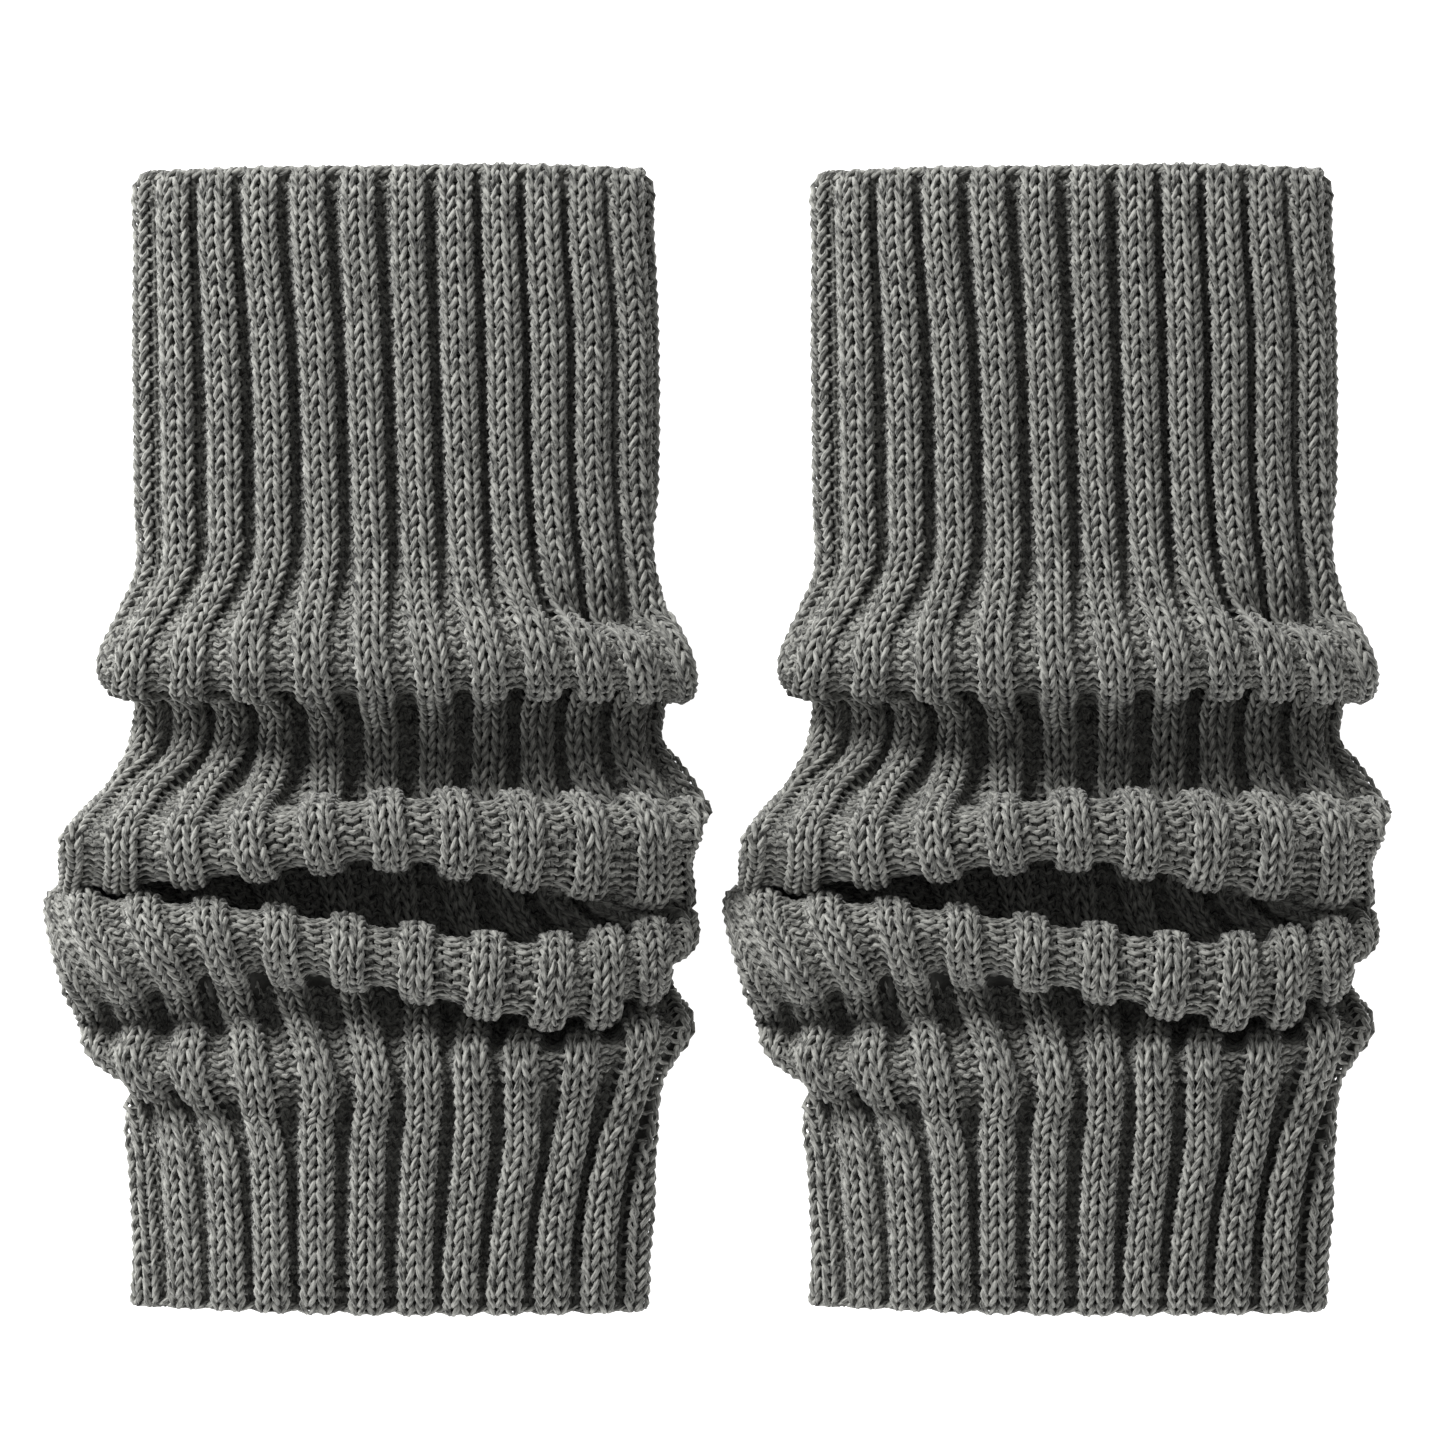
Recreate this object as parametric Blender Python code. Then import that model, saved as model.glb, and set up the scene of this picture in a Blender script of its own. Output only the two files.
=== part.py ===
"""A pair of thumbless, rib-knit fingerless gloves, lying side by side on a table.

Each glove is one open knitted tube. Its middle is gathered into folds between a long upper
cuff and a short lower cuff. The tube is built as rings, one for each zone of the knitting,
so that the gather can be pulled out along the tube. Metres, +Z up, +Y from the lower cuff
to the upper cuff, and the table is the plane z = 0.
"""

import math

import bmesh
import bpy

# Driving dimensions
GLOVE_SPACING = 0.1182  # between the middles of the two gloves
PAIR_SHIFT = 0.0030  # moves the pair sideways, so that its box is centred on x = 0
HALF_LENGTH = 0.1001  # half of the gathered length of a glove
ZONE_GAP = 0.0003  # clearance between neighbouring rings

WALL = 0.0044  # thickness of the ribbed fabric
PASSAGE_HALF_WIDTH = 0.0405  # of the straight way through a glove
PASSAGE_TOP = 0.0118  # height of the roof of that way

ARC_STEPS = 8  # facets round each side of a ring
CROWN_STEPS = 6  # facets across the top of a ring
CROWN = 0.0012  # how much higher the middle of the top is than its sides

# Each ring: its name, then its stations from the upper end to the lower end.
# A station is (y, reach to the left, reach to the right, height over the table).
RINGS = (
    ("cast_on_edge", ((0.1001, 0.0436, 0.0434, 0.0152), (0.0990, 0.0446, 0.0444, 0.0158),
                      (0.0975, 0.0449, 0.0447, 0.0160))),
    ("upper_cuff", ((0.0972, 0.0451, 0.0449, 0.0164), (0.0600, 0.0451, 0.0453, 0.0166),
                    (0.0380, 0.0449, 0.0455, 0.0170), (0.0280, 0.0458, 0.0464, 0.0184))),
    ("first_fold", ((0.0277, 0.0460, 0.0466, 0.0186), (0.0218, 0.0486, 0.0485, 0.0212),
                    (0.0160, 0.0507, 0.0509, 0.0234), (0.0112, 0.0511, 0.0521, 0.0228),
                    (0.0073, 0.0490, 0.0500, 0.0196))),
    ("waist", ((0.0070, 0.0462, 0.0474, 0.0166), (0.0020, 0.0466, 0.0470, 0.0164),
               (-0.0050, 0.0482, 0.0506, 0.0186))),
    ("second_fold", ((-0.0053, 0.0484, 0.0508, 0.0188), (-0.0110, 0.0530, 0.0548, 0.0236),
                     (-0.0170, 0.0578, 0.0545, 0.0262), (-0.0225, 0.0590, 0.0532, 0.0252),
                     (-0.0262, 0.0596, 0.0522, 0.0212))),
    ("third_fold", ((-0.0265, 0.0598, 0.0522, 0.0210), (-0.0310, 0.0604, 0.0526, 0.0232),
                    (-0.0370, 0.0596, 0.0516, 0.0246), (-0.0425, 0.0576, 0.0496, 0.0222),
                    (-0.0455, 0.0566, 0.0502, 0.0194))),
    ("fourth_fold", ((-0.0458, 0.0565, 0.0503, 0.0192), (-0.0500, 0.0554, 0.0514, 0.0206),
                     (-0.0545, 0.0532, 0.0500, 0.0206), (-0.0600, 0.0478, 0.0468, 0.0176))),
    ("lower_cuff", ((-0.0603, 0.0474, 0.0464, 0.0174), (-0.0640, 0.0462, 0.0458, 0.0168),
                    (-0.0972, 0.0457, 0.0436, 0.0160))),
    ("bind_off_edge", ((-0.0975, 0.0455, 0.0434, 0.0158), (-0.0990, 0.0450, 0.0430, 0.0156),
                       (-0.1001, 0.0440, 0.0420, 0.0150))),
)
EDGE_ZONES = ("cast_on_edge", "bind_off_edge")


def clear_scene():
    for obj in list(bpy.data.objects):
        bpy.data.objects.remove(obj)


def knit_material(name, colour, roughness):
    """Dull grey yarn."""
    material = bpy.data.materials.new(name)
    material.use_nodes = True
    shader = material.node_tree.nodes["Principled BSDF"]
    shader.inputs["Base Color"].default_value = (*colour, 1.0)
    shader.inputs["Roughness"].default_value = roughness
    shader.inputs["Metallic"].default_value = 0.0
    return material


def section(left, right, bottom, top, crown):
    """Outline of a flattened tube, flat below, with round sides and a slightly crowned top.

    The points run anticlockwise as seen from the lower cuff, and start at the right end of
    the flat underside.
    """
    radius = (top - bottom) / 2
    middle = (top + bottom) / 2
    points = []
    for step in range(ARC_STEPS + 1):
        angle = -math.pi / 2 + math.pi * step / ARC_STEPS
        points.append((right - radius + radius * math.cos(angle), middle + radius * math.sin(angle)))
    width = left + right - 2 * radius
    for step in range(1, CROWN_STEPS):
        share = step / CROWN_STEPS
        rise = crown * math.sin(math.pi * share)
        points.append((right - radius - width * share, top + rise))
    for step in range(ARC_STEPS + 1):
        angle = math.pi / 2 + math.pi * step / ARC_STEPS
        points.append((-left + radius + radius * math.cos(angle), middle + radius * math.sin(angle)))
    return points


def ring_mesh(name, stations):
    """Closed mesh of one knitted ring: an outer skin, the passage through it and two end faces."""
    mesh = bmesh.new()
    outer, inner = [], []
    for y, left, right, height in stations:
        outside = section(left, right, 0.0, height - CROWN, CROWN)
        inside = section(PASSAGE_HALF_WIDTH, PASSAGE_HALF_WIDTH, WALL, PASSAGE_TOP, 0.0)
        outer.append([mesh.verts.new((x, y, z)) for x, z in outside])
        inner.append([mesh.verts.new((x, y, z)) for x, z in inside])
    count = len(outer[0])
    for skin in (outer, inner):
        for near, far in zip(skin, skin[1:]):
            for i in range(count):
                j = (i + 1) % count
                mesh.faces.new((near[i], near[j], far[j], far[i]))
    for end in (0, -1):
        for i in range(count):
            j = (i + 1) % count
            mesh.faces.new((outer[end][i], outer[end][j], inner[end][j], inner[end][i]))
    bmesh.ops.recalc_face_normals(mesh, faces=mesh.faces)
    data = bpy.data.meshes.new(name)
    mesh.to_mesh(data)
    mesh.free()
    data.shade_smooth()
    data.set_sharp_from_angle(angle=math.radians(35))
    return data


def make_glove(side, middle_x, materials):
    """One glove, as an empty that holds its rings."""
    holder = bpy.data.objects.new(side + "_glove", None)
    holder.location = (middle_x, 0.0, 0.0)
    bpy.context.scene.collection.objects.link(holder)
    for zone, stations in RINGS:
        name = side + "_" + zone
        ring = bpy.data.objects.new(name, ring_mesh(name, stations))
        ring.data.materials.append(materials["edge" if zone in EDGE_ZONES else "rib"])
        ring.parent = holder
        bpy.context.scene.collection.objects.link(ring)


def main():
    clear_scene()
    materials = {
        "rib": knit_material("ribbed_knit", (0.20, 0.205, 0.19), 0.9),
        "edge": knit_material("edge_knit", (0.23, 0.235, 0.215), 0.9),
    }
    for side, sign in (("left", -1), ("right", 1)):
        make_glove(side, sign * GLOVE_SPACING / 2 + PAIR_SHIFT, materials)


main()
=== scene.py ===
"""Looks of a pair of thumbless fingerless gloves: grey melange tubes in 2 by 2 rib.

Each glove is a surface through feature lines (cuffs, fold crests, fold lips and the gaps between
them). The yarn is then knitted onto that surface, one ring of real loops for each row, over a
thin base cloth. Lengths are metres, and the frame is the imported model's own.
"""

import math

import bpy
import numpy as np
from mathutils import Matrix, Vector


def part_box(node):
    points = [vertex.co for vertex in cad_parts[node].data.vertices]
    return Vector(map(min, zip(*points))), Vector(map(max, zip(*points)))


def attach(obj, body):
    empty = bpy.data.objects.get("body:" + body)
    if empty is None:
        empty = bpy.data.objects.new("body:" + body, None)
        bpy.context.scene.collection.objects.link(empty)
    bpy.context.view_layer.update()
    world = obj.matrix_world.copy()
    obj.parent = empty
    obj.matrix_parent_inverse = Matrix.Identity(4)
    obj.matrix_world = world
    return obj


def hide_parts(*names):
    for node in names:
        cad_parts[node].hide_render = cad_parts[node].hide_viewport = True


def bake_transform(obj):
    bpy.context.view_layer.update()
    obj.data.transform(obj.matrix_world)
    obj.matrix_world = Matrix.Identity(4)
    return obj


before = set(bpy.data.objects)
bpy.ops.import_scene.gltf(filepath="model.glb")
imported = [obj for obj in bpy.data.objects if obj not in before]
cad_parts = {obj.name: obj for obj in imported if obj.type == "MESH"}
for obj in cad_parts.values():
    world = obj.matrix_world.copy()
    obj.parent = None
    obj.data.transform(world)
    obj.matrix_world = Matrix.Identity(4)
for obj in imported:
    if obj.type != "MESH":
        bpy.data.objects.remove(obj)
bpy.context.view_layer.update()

MM = 0.001

# ---------------------------------------------------------------- the knitting
RIBS = 24  # round the tube; half of them face up
WALES = 4  # in one rib: two knit, then two purl
ROW = 2.12 * MM  # height of a stitch
WALE = 3.0 * MM  # width of a knit stitch in the drawn-in rib
PURL_ROOM = 1.6 * MM  # the least width left for the two purl wales of a rib
TIGHT_RIB = (9.4 * MM, 2.2 * MM)  # pitch of a relaxed rib, and how far its knit wales stand proud
OPEN_RIB = (11.5 * MM, 1.0 * MM)  # the same where the fabric is stretched
RIB_CORNER = 0.30  # how round the edges of a rib are: 1 is a wave, 0 is a box
SIDE_CORNER = 0.85  # the same at the sides of the tube
SIDE_RELIEF = 0.6  # share of the ribs' height that is left at the sides of the tube
SIDE_SHARPNESS = 12  # the higher this is, the narrower the sides are
YARN_RADIUS = 0.45 * MM
LOOP_WIDTH = 0.265  # sideways swing of a loop, in wales
KNIT_HEIGHT = 0.92  # up and down swing of a knit loop, in rows
PURL_HEIGHT = 1.27  # and of a purl loop, whose bumps then meet in a zigzag
LOOP_DEPTH = 0.56 * MM  # how far a loop passes in front of and behind the fabric
TURN_GAIN = 1.6  # these two set how abruptly loops pass from knit, on the front,
TURN_POWER = 0.7  # to purl, on the back
CLOTH_DEPTH = 1.05 * MM  # how far the base cloth lies behind the middle of the loops
SIDE_CLOTH_DEPTH = 0.35 * MM  # the same at the sides, where one looks along the fabric
CLOTH_STEPS = 8  # points of the base cloth across one rib
CLOTH_ROW_STEP = 0.5  # rows between its points along the glove
CORD_STEPS = 64  # points of an edge's cord along one rib
YARN_SIDES = 6
FRONT_STEPS = 12  # points along one stitch, on the side that faces up
BACK_STEPS = 8  # and on the side that lies on the table

# How unevenly the yarn lies: standard deviations for one stitch.
UNEVEN_SWING = 0.02  # of its sideways swing, in wales
UNEVEN_PLACE = 0.035  # of its place, in wales
UNEVEN_HEIGHT = 0.04  # of its up and down swing, in rows
UNEVEN_ROW = 0.05  # of its place along the glove, in rows
UNEVEN_DEPTH = 0.10  # of its depth, as a share
UNEVEN_FRONT = 0.05  # of its place in front of the fabric, in mm
UNEVEN_RADIUS = 0.05  # of the yarn's radius, as a share
THIN_YARN = 0.92  # radius of the yarn at the ends and the middle of a stitch, as a share
YARN_SWELL = 0.14  # how much thicker it is between them
YARN_SEED = 40  # of a glove's first band; the next bands count on from it
ROW_SHIFT = 0.731  # metres by which the yarn's pattern moves on from one row to the next
BAND_SHIFT = 100.0  # and from one band to the next

# ---------------------------------------------------------------- the shape of a glove
PLACES = (-1.0, -0.5, 0.0, 0.5, 1.0)  # left edge, quarter, middle, quarter and right edge
LEAST_RELIEF = 0.8  # mm from the middle of the fabric to the outside of the flattest ribs
UNDER_RELIEF = 0.55  # share of the ribs' height that is left on the underside
ROUNDNESS = 2.9  # exponent of the flattened tube's outline: 2 is an ellipse
SIDE_SHARE = 0.42  # height of the tube's widest place, as a share of its thickness
UNDER_FADE = 3  # how soon the ribs grow flat from the sides towards the underside

LEAD_RIBS = (2, 4, 6, 8, 10)  # ribs counted from the left edge, whose course is given

# From the cast-on edge to the bind-off edge, in mm: a name, the place along the glove at each of
# the PLACES, the height of the middle of the fabric there, how far the fabric reaches to the left
# and to the right, the height of the underside, how far the knit wales stand proud of the middle,
# and where the LEAD_RIBS cross the line.
LINES = (
    ("cast-on edge", (98.8, 99.4, 99.6, 99.9, 99.3), (9.5, 11, 11, 11, 9.5),
     43.6, 42.9, 3.6, 0.3, (-38, -23.5, -6.5, 10.5, 25.5)),
    ("cast-on shoulder", (96.2, 97, 97.6, 97.8, 96.8), (11, 12, 12, 12, 11),
     45, 44.6, 3.1, 1.5, (-38.5, -23.5, -6.5, 10.5, 25.5)),
    ("cuff mouth", (91.5, 92, 92.5, 92.5, 92), (12, 13, 13, 13, 12),
     45.1, 45.0, 2.8, 2.2, (-38.5, -23.5, -6.5, 10.5, 25.5)),
    ("cuff", (71.5, 71.5, 71.5, 71.5, 71.5), (13, 14, 14, 14, 13),
     45.1, 45.9, 2.8, 2.2, (-38, -22, -5.5, 11, 26.5)),
    ("cuff foot", (42, 42.5, 42.5, 42.5, 42), (13.5, 14.5, 14.5, 14.5, 13.5),
     44.9, 45.8, 2.8, 2.2, (-37.5, -21, -4.5, 12, 27)),
    ("first fold slope", (29.5, 31.5, 31.5, 31.5, 30.5), (15, 16.5, 16.5, 16.5, 15),
     44.7, 45.2, 3.0, 1.9, (-37.5, -21, -4, 12.5, 28)),
    ("first fold rise", (22.5, 23.5, 23.5, 24.5, 23), (18, 21, 21, 21, 18),
     47.3, 47.6, 7.0, 1.3, (-41, -23, -4, 13.5, 29.5)),
    ("first fold crest", (15.5, 17.5, 17, 18.5, 15.5), (21, 25, 25, 25.5, 21),
     50.8, 51.0, 11.0, 0.8, (-45, -25, -4, 15.5, 33)),
    ("first fold brow", (12, 12.5, 12, 13, 11.5), (21, 24.5, 24.5, 25, 21),
     51.2, 52.0, 10.0, 0.8, (-45.5, -25, -3.5, 16.5, 34.5)),
    ("first fold lip", (8.5, 8.5, 8.5, 9, 8), (17, 20.5, 20.5, 20, 17),
     50.0, 51.0, 4.0, 1.1, (-46, -25, -3, 16.5, 35)),
    ("first fold tuck", (9, 8.5, 6.5, 9.5, 9), (12, 12, 13, 12, 12),
     46.5, 47.0, 3.2, 1.7, (-38.5, -22.5, -3, 16.5, 34)),
    ("waist top", (6.5, 5.5, 4, 6.5, 6.5), (10, 9, 9, 9, 9.5),
     45.6, 47.0, 3.0, 2.1, (-36, -21, -2.5, 16.5, 33)),
    ("waist", (0, 0, -1, 0, 0.5), (10, 8, 8, 8, 9.5),
     47.2, 46.2, 2.8, 2.1, (-36, -21, -2.5, 16.5, 32.5)),
    ("waist foot", (-5, -6.5, -9.5, -9.5, -6.5), (13.5, 12.5, 8, 8, 10),
     47.9, 50.5, 3.2, 2.0, (-39, -22, -2.5, 16.5, 34.5)),
    ("second fold foot", (-8.5, -9.5, -13.5, -14, -12.5), (17, 17, 10, 10, 11.5),
     49.6, 54.6, 3.4, 1.8, (-42.5, -23, -2, 18.5, 38)),
    ("second fold upper lip", (-12, -12, -10, -10.5, -11.5), (20, 21.5, 19.5, 19, 18),
     53.0, 53.4, 6.0, 1.2, (-44.5, -24, -1.5, 21, 42)),
    ("second fold crest", (-17, -15.5, -13.5, -15, -16), (22, 27, 27.5, 26.5, 22),
     57.3, 53.0, 17.0, 0.8, (-47, -25, -1, 23, 45)),
    ("second fold brow", (-21, -20, -18, -20, -21), (21.5, 26.5, 26.5, 26, 21.5),
     58.0, 50.8, 5.5, 0.8, (-47, -24.5, -0.5, 23, 45)),
    ("second fold lip", (-25.5, -23.5, -21, -25, -27.5), (17, 21, 21, 20.5, 17),
     57.8, 51.2, 3.2, 1.1, (-47.5, -23, -0.5, 22, 44.5)),
    ("second fold tuck", (-26, -22, -19, -23, -28.8), (13, 12.5, 12.5, 12.5, 14),
     57.0, 49.0, 3.0, 1.6, (-47, -22.5, 0, 20, 40)),
    ("gap top", (-26.2, -25, -22.5, -26, -29.2), (11, 9, 8.5, 9, 13.5),
     56.0, 48.0, 3.0, 2.0, (-46.5, -22.5, 0.5, 19, 36.5)),
    ("gap foot", (-26.3, -28.5, -32.5, -34, -29.8), (11, 9, 8.5, 9, 15),
     56.0, 48.0, 3.0, 2.0, (-45, -21, 1.5, 23, 40)),
    ("third fold foot", (-26.5, -31, -35.5, -37.5, -30.5), (13, 12, 11.5, 12, 17),
     58.0, 50.6, 3.0, 1.6, (-44, -20.5, 3, 26.5, 43)),
    ("third fold upper lip", (-27.5, -28.8, -32.5, -35, -32), (17, 20, 20, 20, 19.5),
     60.3, 51.6, 3.0, 1.2, (-43.5, -20, 4, 28, 44.5)),
    ("third fold crest", (-32.5, -32, -36.5, -39.5, -35.5), (21, 24.5, 25.5, 25.5, 21),
     60.0, 51.2, 4.0, 1.0, (-43, -19.5, 4, 28, 45)),
    ("third fold brow", (-39.5, -35, -40, -44, -38.5), (20.5, 23.5, 24.5, 24.5, 20),
     58.2, 48.4, 12.0, 1.2, (-41, -19.5, 4, 27.5, 45)),
    ("third fold lip", (-45.5, -39, -43, -47.5, -41), (17, 19.5, 19, 19, 17),
     56.6, 48.8, 8.0, 1.5, (-38.5, -19, 4, 26.5, 44.5)),
    ("third fold tuck", (-47.5, -43.5, -42.5, -46.5, -42), (12.5, 12, 10.5, 10.5, 13),
     55.6, 47.8, 4.5, 1.6, (-37, -18, 4.5, 25.5, 43)),
    ("crease", (-49.5, -48.5, -45.5, -49.5, -43), (10.5, 11, 10, 9.5, 12),
     55.2, 47.7, 3.2, 1.8, (-36, -17, 4.5, 23.5, 42)),
    ("fourth fold rise", (-51.5, -52.5, -51, -52, -46), (13.5, 15, 14, 14.5, 14.5),
     54.8, 49.2, 3.6, 1.8, (-35.5, -15.5, 4.5, 22.5, 42.5)),
    ("fourth fold crest", (-55.5, -56.5, -56, -54.5, -50), (17, 18.5, 17.5, 18.5, 18),
     52.2, 50.9, 6.5, 1.8, (-36, -14, 5, 22, 43)),
    ("fourth fold brow", (-59, -60, -60, -58.5, -55), (17, 18, 17, 17.5, 17),
     48.1, 48.2, 6.5, 1.9, (-35, -13, 5, 22, 42)),
    ("fourth fold lip", (-61.5, -62.5, -62.5, -61.5, -58.5), (13.5, 16, 16, 16, 15),
     45.7, 46.2, 4.5, 2.0, (-34, -13, 5, 22, 41)),
    ("lower cuff top", (-62, -65, -65, -64.5, -63), (10.5, 14, 15, 15, 14),
     46.8, 45.3, 3.2, 2.1, (-32.5, -13.5, 5, 22, 40)),
    ("lower cuff rise", (-69, -70, -70, -70, -69.5), (12, 14, 14.5, 14.5, 13.5),
     46.8, 44.3, 2.8, 2.2, (-30.5, -13.5, 4.5, 22, 38)),
    ("lower cuff", (-80, -80, -80, -80, -80), (13, 14, 14, 14, 13),
     46.3, 44.0, 2.8, 2.2, (-29.5, -13.5, 4, 20.5, 36)),
    ("lower cuff foot", (-94, -95, -95.5, -95.5, -95), (12, 13.5, 13.5, 13.5, 12),
     46.2, 43.2, 2.8, 2.0, (-29, -13.5, 3.5, 19, 35)),
    ("bind-off edge", (-98.2, -98.9, -99.4, -99.3, -99.2), (10, 11.5, 11.5, 11.5, 10),
     46.2, 43.0, 3.4, 0.9, (-29, -13.5, 3.5, 19, 35)),
)

# Where the folds swell or sink between the PLACES, in mm and rows: the place across the glove, the
# line, how far the fabric moves along the glove and up, and how far that reaches across and along.
DENTS = (
    (38, "first fold rise", -5.5, -6, 8, 1.6),
    (37, "third fold tuck", -4.5, 0, 7, 4.5),
    (-41, "crease", 0, -3, 8, 1.5),
    (-42, "lower cuff top", 2, -4, 6, 1.3),
)

# The fabric is cut into bands at the fold crests. A band: its name, the lines it runs between, a
# body for its lower end and one for its upper end, where a bend between them would start and end
# along the glove in mm (these four are not used here), and the CAD nodes it stands for.
BANDS = (
    ("upper_fabric", "cast-on edge", "first fold crest",
     "first_fold", "upper_cuff", 20, 50, ("upper_cuff",)),
    ("waist_fabric", "first fold crest", "second fold crest",
     "second_fold", "first_fold", -9, 11, ("first_fold", "waist")),
    ("gap_fabric", "second fold crest", "third fold crest",
     "third_fold", "second_fold", -31, -18, ("second_fold",)),
    ("crease_fabric", "third fold crest", "fourth fold crest",
     "fourth_fold", "third_fold", -53, -41, ("third_fold",)),
    ("lower_fabric", "fourth fold crest", "bind-off edge",
     "lower_cuff", "fourth_fold", -82, -58, ("fourth_fold", "lower_cuff")),
)

# The two edges: a name, the body it rides on, the row it lies on counted from its end, the length
# of one twist, how far its two strands lie from their middle, and the strands' radius.
EDGES = (
    ("cast_on_edge", "upper_cuff", 0.35, 3.3 * MM, 0.45 * MM, 0.55 * MM),
    ("bind_off_edge", "lower_cuff", -0.3, 3.3 * MM, 0.40 * MM, 0.50 * MM),
)

EVEN_ROWS = 4  # over how many rows the heights of the stitches even out
EVEN_SIDE_ROWS = 9  # the same at the sides of the tube
GRID_ROWS = 6  # surface samples in one row of stitches
GRID_COLUMNS = 16  # surface samples across one rib
FINE_STEPS = 4000  # samples along a glove, to measure lengths with
OUTLINE_STEPS = 720  # samples of half the tube's outline


def hermite(knots, values, where):
    """Smooth curve through values at knots, read at where; values may have more axes."""
    knots = np.asarray(knots, float)
    values = np.asarray(values, float)
    where = np.asarray(where, float)
    extra = (1,) * (values.ndim - 1)
    step = np.diff(knots).reshape(-1, *extra)
    slope = np.diff(values, axis=0) / step
    tangent = np.empty_like(values)
    tangent[0], tangent[-1] = slope[0], slope[-1]
    tangent[1:-1] = (slope[:-1] * step[1:] + slope[1:] * step[:-1]) / (step[:-1] + step[1:])
    i = np.clip(np.searchsorted(knots, where, side="right") - 1, 0, len(knots) - 2)
    h = step[i]
    t = (where - knots[i]).reshape(-1, *extra) / h
    return (
        values[i] * (2 * t**3 - 3 * t**2 + 1)
        + tangent[i] * h * (t**3 - 2 * t**2 + t)
        + values[i + 1] * (3 * t**2 - 2 * t**3)
        + tangent[i + 1] * h * (t**3 - t**2)
    )


def power(values, exponent):
    """Signed power."""
    return np.sign(values) * np.abs(values) ** exponent


class Surface:
    """The middle of a glove's fabric, as a grid: rows of stitches by places round the tube.

    Round the tube, q runs from 0 at the left edge over the top to 0.5 at the right edge, and back
    along the underside to 1.
    """

    def __init__(self):
        names = [line[0] for line in LINES]
        along = np.array([line[1] for line in LINES], float)
        height = np.array([line[2] for line in LINES], float)
        under = np.array([line[5] for line in LINES], float)
        proud = np.array([line[6] for line in LINES], float)
        reach = np.array([line[3:5] for line in LINES], float)
        reach -= np.maximum(proud, LEAST_RELIEF)[:, None] * SIDE_RELIEF
        leads = np.array([line[7] for line in LINES], float)
        middle = slice(1, -1)
        chord = np.hypot(np.diff(along[:, middle], axis=0), np.diff(height[:, middle], axis=0))
        knots = np.concatenate([[0.0], np.cumsum(chord.mean(1))])

        fine = np.linspace(0, knots[-1], FINE_STEPS)
        y, z = hermite(knots, along, fine), hermite(knots, height, fine)
        length = np.hypot(np.diff(y[:, middle], axis=0), np.diff(z[:, middle], axis=0)).mean(1)
        length = np.concatenate([[0.0], np.cumsum(length)])
        self.length = length[-1] * MM
        self.rows = int(round(self.length / ROW))
        self.line_row = dict(zip(names, np.interp(knots, fine, length) / length[-1] * self.rows))

        count = self.rows * GRID_ROWS + 1
        at = np.interp(np.linspace(0, length[-1], count), length, fine)
        self.points = self.make_points(
            *(hermite(knots, values, at) for values in (along, height, reach, under, leads))
        )
        self.even_rows()
        self.normals = self.make_normals()
        self.pitch = self.make_pitch()
        limit = np.interp(self.pitch, *zip(TIGHT_RIB, OPEN_RIB))
        q = np.arange(self.pitch.shape[1]) / self.pitch.shape[1]
        pressed = (1 - UNDER_RELIEF) * np.clip(-UNDER_FADE * np.sin(2 * math.pi * q), 0, 1)
        lowered = (1 - SIDE_RELIEF) * sideness(q)
        self.relief = np.minimum(limit, (np.interp(at, knots, proud) * MM)[:, None])
        self.relief *= (1 - pressed) * (1 - lowered)

    def make_points(self, y, z, reach, under, leads):
        """Positions in metres, from what the feature lines give at each row."""
        angle = np.linspace(0, math.pi, OUTLINE_STEPS + 1)
        across = -power(np.cos(angle), 2 / ROUNDNESS)
        rise = power(np.sin(angle), 2 / ROUNDNESS)
        weights = hermite(PLACES, np.eye(len(PLACES)), across)
        widest = under + SIDE_SHARE * (z.mean(1) - under)
        x = np.where(across < 0, across * reach[:, :1], across * reach[:, 1:])
        top_z = widest[:, None] + (z @ weights.T - widest[:, None]) * rise
        top = np.stack([x, y @ weights.T, top_z], -1)
        row = np.arange(len(top))[:, None] / GRID_ROWS
        for place, line, move, lift, wide, tall in DENTS:
            off_across = (x - place) / wide
            off_along = (row - self.line_row[line]) / tall
            share = np.exp(-0.5 * off_across ** 2 - 0.5 * off_along ** 2)
            top[..., 1] += move * share * rise
            top[..., 2] += lift * share * rise
        share = (across + 1) / 2
        below_y = y[:, :1] * (1 - share) + y[:, -1:] * share
        below_z = widest[:, None] - (widest - under)[:, None] * rise
        below = np.stack([x, below_y, below_z], -1)[:, ::-1]
        ring = np.concatenate([top[:, :-1], below], axis=1)
        gone = np.linalg.norm(np.diff(ring, axis=1), axis=2)
        gone = np.concatenate([np.zeros((len(ring), 1)), np.cumsum(gone, axis=1)], axis=1)
        half = gone[:, len(angle) - 1]
        whole = gone[:, -1]

        # where the ribs lie: evenly spaced, then drawn to where the lead ribs are
        columns = RIBS * GRID_COLUMNS
        q = np.arange(columns) / columns
        evenly = np.where(q < 0.5, q * 2 * half[:, None],
                          half[:, None] + (q * 2 - 1) * (whole - half)[:, None])
        lead_q = (np.array(LEAD_RIBS) - 0.5) / RIBS
        drawn = np.array([np.interp(leads[row], x[row], gone[row, :len(angle)])
                          for row in range(len(ring))]) - lead_q * 2 * half[:, None]
        below_drawn = drawn.mean(1, keepdims=True)
        knots = np.concatenate([[-0.25], lead_q, [0.75], lead_q + 1])
        shift = np.concatenate([below_drawn, drawn, below_drawn, drawn], axis=1)
        wanted = (evenly + hermite(knots, shift.T, q).T) % whole[:, None]

        points = np.empty((len(ring), columns, 3))
        for row in range(len(ring)):
            for axis in range(3):
                points[row, :, axis] = np.interp(wanted[row], gone[row], ring[row, :, axis])
        return points * MM

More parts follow.
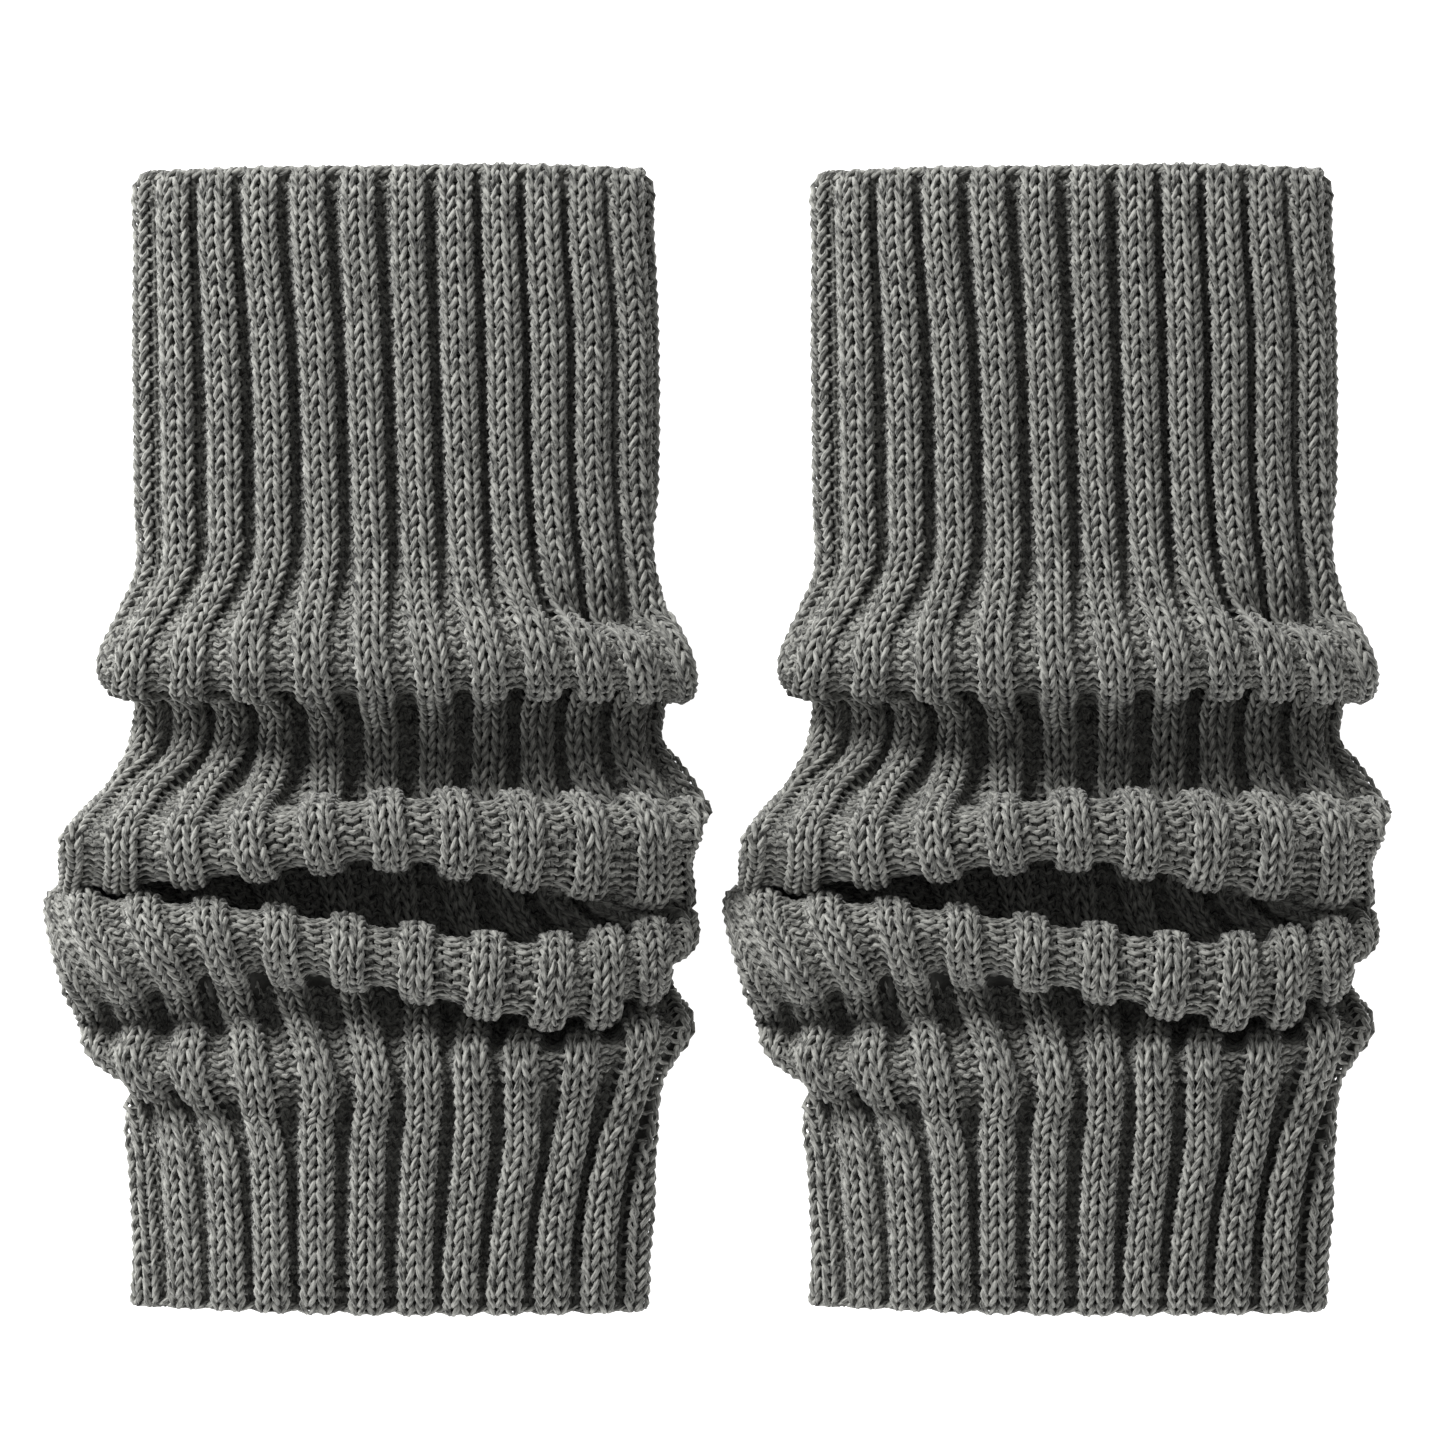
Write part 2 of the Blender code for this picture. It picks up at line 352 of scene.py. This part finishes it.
    def even_rows(self):
        """Let the rows of stitches slide along the ribs until their heights are nearly equal."""
        columns = self.points.shape[1]
        for column in range(columns):
            over = EVEN_ROWS + (EVEN_SIDE_ROWS - EVEN_ROWS) * sideness(column / columns)
            reach = int(4 * over * GRID_ROWS)
            window = np.exp(-0.5 * (np.arange(-reach, reach + 1) / (over * GRID_ROWS)) ** 2)
            window /= window.sum()
            path = self.points[:, column].copy()
            gone = np.concatenate([[0], np.cumsum(np.linalg.norm(np.diff(path, axis=0), axis=1))])
            before = -gone[reach:0:-1]
            after = 2 * gone[-1] - gone[-2:-reach - 2:-1]
            longer = np.concatenate([before, gone, after])
            even = np.convolve(longer, window, "valid")
            for axis in range(3):
                self.points[:, column, axis] = np.interp(even, gone, path[:, axis])

    def make_normals(self):
        """Directions out of the tube at each grid point."""
        round_tube = np.roll(self.points, -1, 1) - np.roll(self.points, 1, 1)
        along_tube = np.gradient(self.points, axis=0)
        normal = np.cross(along_tube, round_tube)
        normal /= np.maximum(np.linalg.norm(normal, axis=2, keepdims=True), 1e-12)
        return normal

    def make_pitch(self):
        """Width of one rib at each grid point."""
        step = np.linalg.norm(np.roll(self.points, -1, 1) - np.roll(self.points, 1, 1), axis=2) / 2
        pitch = step * GRID_COLUMNS
        window = np.ones(GRID_COLUMNS + 1) / (GRID_COLUMNS + 1)
        wrapped = np.concatenate([pitch[:, -GRID_COLUMNS:], pitch, pitch[:, :GRID_COLUMNS]], 1)
        smooth = np.array([np.convolve(row, window, "same") for row in wrapped])
        return smooth[:, GRID_COLUMNS:-GRID_COLUMNS]

    def read(self, grid, row, q):
        """Values of a grid at rows and places round the tube, bilinearly."""
        v = np.clip(row * GRID_ROWS, 0, len(grid) - 1.001)
        u = (q % 1.0) * grid.shape[1]
        v0, u0 = np.floor(v).astype(int), np.floor(u).astype(int)
        fv, fu = v - v0, u - u0
        u0 %= grid.shape[1]
        u1 = (u0 + 1) % grid.shape[1]
        if grid.ndim == 3:
            fv, fu = fv[..., None], fu[..., None]
        low = grid[v0, u0] * (1 - fu) + grid[v0, u1] * fu
        high = grid[v0 + 1, u0] * (1 - fu) + grid[v0 + 1, u1] * fu
        return low * (1 - fv) + high * fv


def rib_place(t, rib, pitch):
    """Place round the tube of a point t wales into its rib, where ribs are pitch apart."""
    knit = np.minimum(WALE, (pitch - PURL_ROOM) / 2)
    from_middle = np.where(t < 2, (t - 1) * knit, knit + (t - 2) / 2 * (pitch - 2 * knit))
    return (rib + 0.5 + from_middle / pitch) / RIBS


def sideness(q):
    """1 at the left and right edges of the tube, and 0 over most of its top and underside."""
    return np.cos(2 * math.pi * q) ** SIDE_SHARPNESS


def rib_height(t, q):
    """Height of the fabric t wales into a rib: 1 on its knit wales, -1 on its purl wales."""
    corner = RIB_CORNER + (SIDE_CORNER - RIB_CORNER) * sideness(q)
    return power(np.sin(math.pi * t / 2), corner)


def stitch_places():
    """Rib, wales into the rib, and step length of every point of one row of stitches."""
    rib, t = [], []
    for k in range(RIBS):
        steps = FRONT_STEPS if k < RIBS // 2 else BACK_STEPS
        here = np.arange(WALES * steps) / steps
        rib.append(np.full(len(here), k))
        t.append(here)
    return np.concatenate(rib), np.concatenate(t)


def yarn_rows(surface, first, last, seed):
    """Centre line, normals and radius of each yarn ring from row first to row last."""
    rng = np.random.default_rng(seed)
    rib, t = stitch_places()
    rows = np.arange(first, last) + 0.5
    part = t % 1.0
    wale = (rib * WALES + np.floor(t)).astype(int)
    window = np.sin(math.pi * part) ** 2
    swing = np.sin(4 * math.pi * part)
    lift = np.cos(2 * math.pi * part)
    side = np.clip(TURN_GAIN * power(np.sin(math.pi * t / 2), TURN_POWER), -1, 1)

    def jitter(amount):
        return rng.normal(0, amount, (len(rows), RIBS * WALES))[:, wale] * window

    t_now = t + (LOOP_WIDTH + jitter(UNEVEN_SWING)) * swing + jitter(UNEVEN_PLACE)
    height = KNIT_HEIGHT + (PURL_HEIGHT - KNIT_HEIGHT) * (1 - side) / 2
    row_now = rows[:, None] + (height + jitter(UNEVEN_HEIGHT)) * lift + jitter(UNEVEN_ROW)
    depth = -LOOP_DEPTH * np.cos(4 * math.pi * part) * side * (1 + jitter(UNEVEN_DEPTH))
    depth += jitter(UNEVEN_FRONT) * MM

    q_rough = (rib + 0.5 + (t - 1) / WALES) / RIBS
    q_rough = np.broadcast_to(q_rough, row_now.shape)
    pitch = surface.read(surface.pitch, row_now, q_rough)
    q = rib_place(t_now, rib, pitch)
    centre = surface.read(surface.points, row_now, q)
    normal = surface.read(surface.normals, row_now, q)
    normal /= np.linalg.norm(normal, axis=2, keepdims=True)
    relief = surface.read(surface.relief, row_now, q)
    centre = centre + normal * (relief * rib_height(t_now, q) + depth)[..., None]
    swell = YARN_SWELL * np.abs(np.sin(2 * math.pi * part))
    radius = YARN_RADIUS * (THIN_YARN + swell + jitter(UNEVEN_RADIUS))
    return centre, normal, radius


def tube_mesh(name, centre, normal, radius, yarn_start=0.0):
    """A mesh of closed yarn rings, with a yarn coordinate: along the yarn, and across it."""
    rows, count = centre.shape[:2]
    tangent = np.roll(centre, -1, 1) - np.roll(centre, 1, 1)
    tangent /= np.maximum(np.linalg.norm(tangent, axis=2, keepdims=True), 1e-12)
    sideways = np.cross(tangent, normal)
    sideways /= np.maximum(np.linalg.norm(sideways, axis=2, keepdims=True), 1e-12)
    outward = np.cross(sideways, tangent)
    turn = 2 * math.pi * np.arange(YARN_SIDES) / YARN_SIDES
    cos, sin = np.cos(turn)[:, None], np.sin(turn)[:, None]
    offset = sideways[:, :, None] * cos + outward[:, :, None] * sin
    points = centre[:, :, None] + offset * radius[:, :, None, None]

    gone = np.linalg.norm(np.diff(centre, axis=1), axis=2)
    gone = np.concatenate([np.zeros((rows, 1)), np.cumsum(gone, axis=1)], axis=1)
    gone += (np.arange(rows) * ROW_SHIFT + yarn_start)[:, None]
    yarn = np.empty(points.shape)
    yarn[..., 0] = gone[:, :, None]
    yarn[..., 1] = radius[:, :, None] * cos[:, 0]
    yarn[..., 2] = radius[:, :, None] * sin[:, 0]

    ring = np.arange(rows)[:, None, None] * count * YARN_SIDES
    here = np.arange(count)[None, :, None] * YARN_SIDES
    there = (np.arange(count)[None, :, None] + 1) % count * YARN_SIDES
    a = np.arange(YARN_SIDES)[None, None]
    b = (a + 1) % YARN_SIDES
    quads = np.stack([ring + here + a, ring + here + b, ring + there + b, ring + there + a], -1)
    return mesh_from(name, points.reshape(-1, 3), quads.reshape(-1, 4),
                     {"yarn": yarn.reshape(-1, 3)})


def rope_strands(surface, row, twist, spread, radius):
    """Centre lines, normals and radii of two strands twisted together along one row's edge."""
    count = RIBS * CORD_STEPS
    q = np.arange(count) / count
    path = surface.read(surface.points, np.full(count, float(row)), q)
    normal = surface.read(surface.normals, np.full(count, float(row)), q)
    tangent = np.roll(path, -1, 0) - np.roll(path, 1, 0)
    length = np.linalg.norm(tangent, axis=1).sum() / 2
    along = np.cross(normal, tangent)
    along /= np.linalg.norm(along, axis=1, keepdims=True)
    turn = 2 * math.pi * round(length / twist) * q + np.array([[0.0], [math.pi]])
    cos, sin = np.cos(turn)[..., None], np.sin(turn)[..., None]
    centre = path + spread * (normal * cos + along * sin)
    return centre, np.broadcast_to(normal, centre.shape), np.full(centre.shape[:2], radius)


def mesh_from(name, points, quads, vectors):
    """An object from arrays of points and quads, with vector attributes on its points."""
    data = bpy.data.meshes.new(name)
    data.vertices.add(len(points))
    data.vertices.foreach_set("co", points.astype(np.float32).ravel())
    data.loops.add(quads.size)
    data.loops.foreach_set("vertex_index", quads.astype(np.int32).ravel())
    data.polygons.add(len(quads))
    data.polygons.foreach_set("loop_start", np.arange(0, quads.size, 4, dtype=np.int32))
    for key, values in vectors.items():
        layer = data.attributes.new(key, "FLOAT_VECTOR", "POINT")
        layer.data.foreach_set("vector", values.astype(np.float32).ravel())
    data.update(calc_edges=True)
    data.shade_smooth()
    thing = bpy.data.objects.new(name, data)
    bpy.context.scene.collection.objects.link(thing)
    return thing


def base_cloth(name, surface, first, last, middle_x):
    """The plain sheet of fabric that a band's loops are knitted round."""
    rows = np.arange(first, last + CLOTH_ROW_STEP / 2, CLOTH_ROW_STEP)
    rib = np.repeat(np.arange(RIBS), CLOTH_STEPS)
    t = np.tile(np.arange(CLOTH_STEPS) / CLOTH_STEPS * WALES, RIBS)
    row_now = np.repeat(rows[:, None], len(t), 1)
    q_rough = np.broadcast_to((rib + 0.5 + (t - 1) / WALES) / RIBS, row_now.shape)
    pitch = surface.read(surface.pitch, row_now, q_rough)
    q = rib_place(np.broadcast_to(t, row_now.shape), rib, pitch)
    centre = surface.read(surface.points, row_now, q)
    normal = surface.read(surface.normals, row_now, q)
    relief = surface.read(surface.relief, row_now, q)
    behind = CLOTH_DEPTH - (CLOTH_DEPTH - SIDE_CLOTH_DEPTH) * sideness(q)
    centre = centre + normal * (relief * rib_height(t, q) - behind)[..., None]
    centre[..., 0] += middle_x
    count = len(t)
    i = np.arange(len(rows) - 1)[:, None] * count
    j = np.arange(count)[None]
    k = (j + 1) % count
    quads = np.stack([i + j, i + count + j, i + count + k, i + k], -1).reshape(-1, 4)
    return mesh_from(name, centre.reshape(-1, 3), quads, {})


# ---------------------------------------------------------------- materials
def nodes_of(name):
    """A new material, its node tree and its shader."""
    material = bpy.data.materials.new(name)
    material.use_nodes = True
    tree = material.node_tree
    return material, tree, tree.nodes["Principled BSDF"]


def yarn_material():
    """Grey melange yarn: light and dark fibres twisted together, dull and a little hairy."""
    material, tree, shader = nodes_of("melange_yarn")
    place = tree.nodes.new("ShaderNodeAttribute")
    place.attribute_name = "yarn"
    stretch = tree.nodes.new("ShaderNodeVectorMath")
    stretch.operation = "MULTIPLY"
    stretch.inputs[1].default_value = (0.25, 1.0, 1.0)
    tree.links.new(place.outputs["Vector"], stretch.inputs[0])
    fibres = tree.nodes.new("ShaderNodeTexNoise")
    fibres.inputs["Scale"].default_value = 2600
    fibres.inputs["Detail"].default_value = 3
    fibres.inputs["Roughness"].default_value = 0.65
    tree.links.new(stretch.outputs[0], fibres.inputs["Vector"])
    tufts = tree.nodes.new("ShaderNodeTexNoise")
    tufts.inputs["Scale"].default_value = 520
    tufts.inputs["Detail"].default_value = 2
    tree.links.new(place.outputs["Vector"], tufts.inputs["Vector"])
    mix = tree.nodes.new("ShaderNodeMix")
    mix.data_type = "FLOAT"
    mix.inputs[0].default_value = 0.42
    tree.links.new(fibres.outputs["Fac"], mix.inputs[2])
    tree.links.new(tufts.outputs["Fac"], mix.inputs[3])
    ramp = tree.nodes.new("ShaderNodeValToRGB")
    ramp.color_ramp.elements[0].position = 0.40
    ramp.color_ramp.elements[0].color = (0.020, 0.020, 0.0185, 1)
    ramp.color_ramp.elements[1].position = 0.60
    ramp.color_ramp.elements[1].color = (0.36, 0.36, 0.334, 1)
    tree.links.new(mix.outputs[0], ramp.inputs[0])
    tree.links.new(ramp.outputs[0], shader.inputs["Base Color"])
    bump = tree.nodes.new("ShaderNodeBump")
    bump.inputs["Strength"].default_value = 0.5
    bump.inputs["Distance"].default_value = 0.15 * MM
    tree.links.new(fibres.outputs["Fac"], bump.inputs["Height"])
    tree.links.new(bump.outputs[0], shader.inputs["Normal"])
    shader.inputs["Roughness"].default_value = 0.88
    shader.inputs["Specular IOR Level"].default_value = 0.25
    shader.inputs["Sheen Weight"].default_value = 0.25
    shader.inputs["Sheen Roughness"].default_value = 0.5
    return material


def painted_shade_base_material():
    """The inside of the fabric, seen only between the loops: coloured darker than the yarn, as
    painted shade in the gaps.
    """
    material, tree, shader = nodes_of("fabric_inside_painted_shade")
    noise = tree.nodes.new("ShaderNodeTexNoise")
    noise.inputs["Scale"].default_value = 1200
    where = tree.nodes.new("ShaderNodeTexCoord")
    tree.links.new(where.outputs["Object"], noise.inputs["Vector"])
    ramp = tree.nodes.new("ShaderNodeValToRGB")
    # painted shade: this sheet stands for more yarn behind the loops, but is coloured darker than
    # the yarn so that the gaps look shaded
    ramp.color_ramp.elements[0].color = (0.03, 0.03, 0.028, 1)
    ramp.color_ramp.elements[1].color = (0.10, 0.10, 0.093, 1)
    tree.links.new(noise.outputs["Fac"], ramp.inputs[0])
    tree.links.new(ramp.outputs[0], shader.inputs["Base Color"])
    shader.inputs["Roughness"].default_value = 0.95
    shader.inputs["Specular IOR Level"].default_value = 0.1
    return material


# ---------------------------------------------------------------- the gloves
def make_glove(side, surface, yarn, painted_shade_inside):
    """All the pieces of one glove; its two edge cords ride on the bodies that carry them."""
    low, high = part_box(side + "_upper_cuff")
    middle_x = (low.x + high.x) / 2
    for number, (name, top, foot, lower, upper, start, end, nodes) in enumerate(BANDS):
        first = int(round(surface.line_row[top]))
        last = int(round(surface.line_row[foot]))
        centre, normal, radius = yarn_rows(surface, first, last, YARN_SEED + number)
        centre[..., 0] += middle_x
        loops = tube_mesh(f"{side}_{name}_yarn", centre, normal, radius, BAND_SHIFT * number)
        loops.data.materials.append(yarn)
        sheet = base_cloth(f"{side}_{name}", surface, first, last, middle_x)
        # the base cloth gets the material with painted shade between the loops
        sheet.data.materials.append(painted_shade_inside)
        for piece in (loops, sheet):
            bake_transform(piece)
        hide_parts(*(f"{side}_{node}" for node in nodes))
    for name, body, row, twist, spread, radius in EDGES:
        centre, normal, radii = rope_strands(surface, row % surface.rows, twist, spread, radius)
        rope = tube_mesh(f"{side}_{name}_cord", centre + (middle_x, 0, 0), normal, radii)
        rope.data.materials.append(yarn)
        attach(rope, f"{side}_{body}")
        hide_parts(f"{side}_{name}")


surface = Surface()
yarn, painted_shade_inside = yarn_material(), painted_shade_base_material()
for side in ("left", "right"):
    make_glove(side, surface, yarn, painted_shade_inside)


# ---------------------------------------------------------------- the studio
FRAME_WIDTH = 0.2516  # metres that the picture takes in, at the height of VIEW_MIDDLE
VIEW_MIDDLE = (0.0011, 0.00305, 0.009)
LENS = 300.0  # mm, as is the sensor; long, since both gloves look alike in the photograph
SENSOR = 36.0
FLOOR_HALF = 3.0
LIGHT_TARGET = (0, 0, 0.01)
WORLD_LIGHT = 0.22

# The lamps: a name, the place, the size, and the power in watts.
LAMPS = (
    ("key", (-0.78, 1.00, 0.74), 0.6, 30.5),
    ("fill", (0.62, -1.02, 0.36), 0.5, 7.5),
    ("rim", (-1.20, -0.38, 0.42), 0.5, 10),
)


def make_floor():
    """White paper, lit so that it stays plain white."""
    data = bpy.data.meshes.new("floor")
    half = FLOOR_HALF
    corners = [(-half, -half, 0), (half, -half, 0), (half, half, 0), (-half, half, 0)]
    data.from_pydata(corners, [], [(0, 1, 2, 3)])
    floor = bpy.data.objects.new("floor", data)
    bpy.context.scene.collection.objects.link(floor)
    material, tree, shader = nodes_of("white_paper")
    shader.inputs["Base Color"].default_value = (0.8, 0.8, 0.8, 1)
    shader.inputs["Roughness"].default_value = 0.9
    shader.inputs["Emission Color"].default_value = (1, 1, 1, 1)
    shader.inputs["Emission Strength"].default_value = 1.0
    data.materials.append(material)


def area_light(name, place, size, power_w):
    """A round lamp that points at the gloves."""
    data = bpy.data.lights.new(name, "AREA")
    data.shape = "DISK"
    data.size = size
    data.energy = power_w
    light = bpy.data.objects.new(name, data)
    light.location = place
    towards = Vector(LIGHT_TARGET) - Vector(place)
    light.rotation_euler = towards.to_track_quat("-Z", "Y").to_euler()
    bpy.context.scene.collection.objects.link(light)


def make_light():
    """A dim white world and three lamps."""
    world = bpy.data.worlds.new("studio")
    bpy.context.scene.world = world
    world.use_nodes = True
    world.node_tree.nodes["Background"].inputs[0].default_value = (1, 1, 1, 1)
    world.node_tree.nodes["Background"].inputs[1].default_value = WORLD_LIGHT
    for lamp in LAMPS:
        area_light(*lamp)


def make_camera():
    """Straight above the gloves."""
    data = bpy.data.cameras.new("camera")
    data.lens = LENS
    data.sensor_width = SENSOR
    camera = bpy.data.objects.new("camera", data)
    x, y, z = VIEW_MIDDLE
    camera.location = (x, y, z + FRAME_WIDTH * LENS / SENSOR)
    bpy.context.scene.collection.objects.link(camera)
    bpy.context.scene.camera = camera


make_floor()
make_light()
make_camera()
bpy.context.scene.view_settings.view_transform = "Standard"
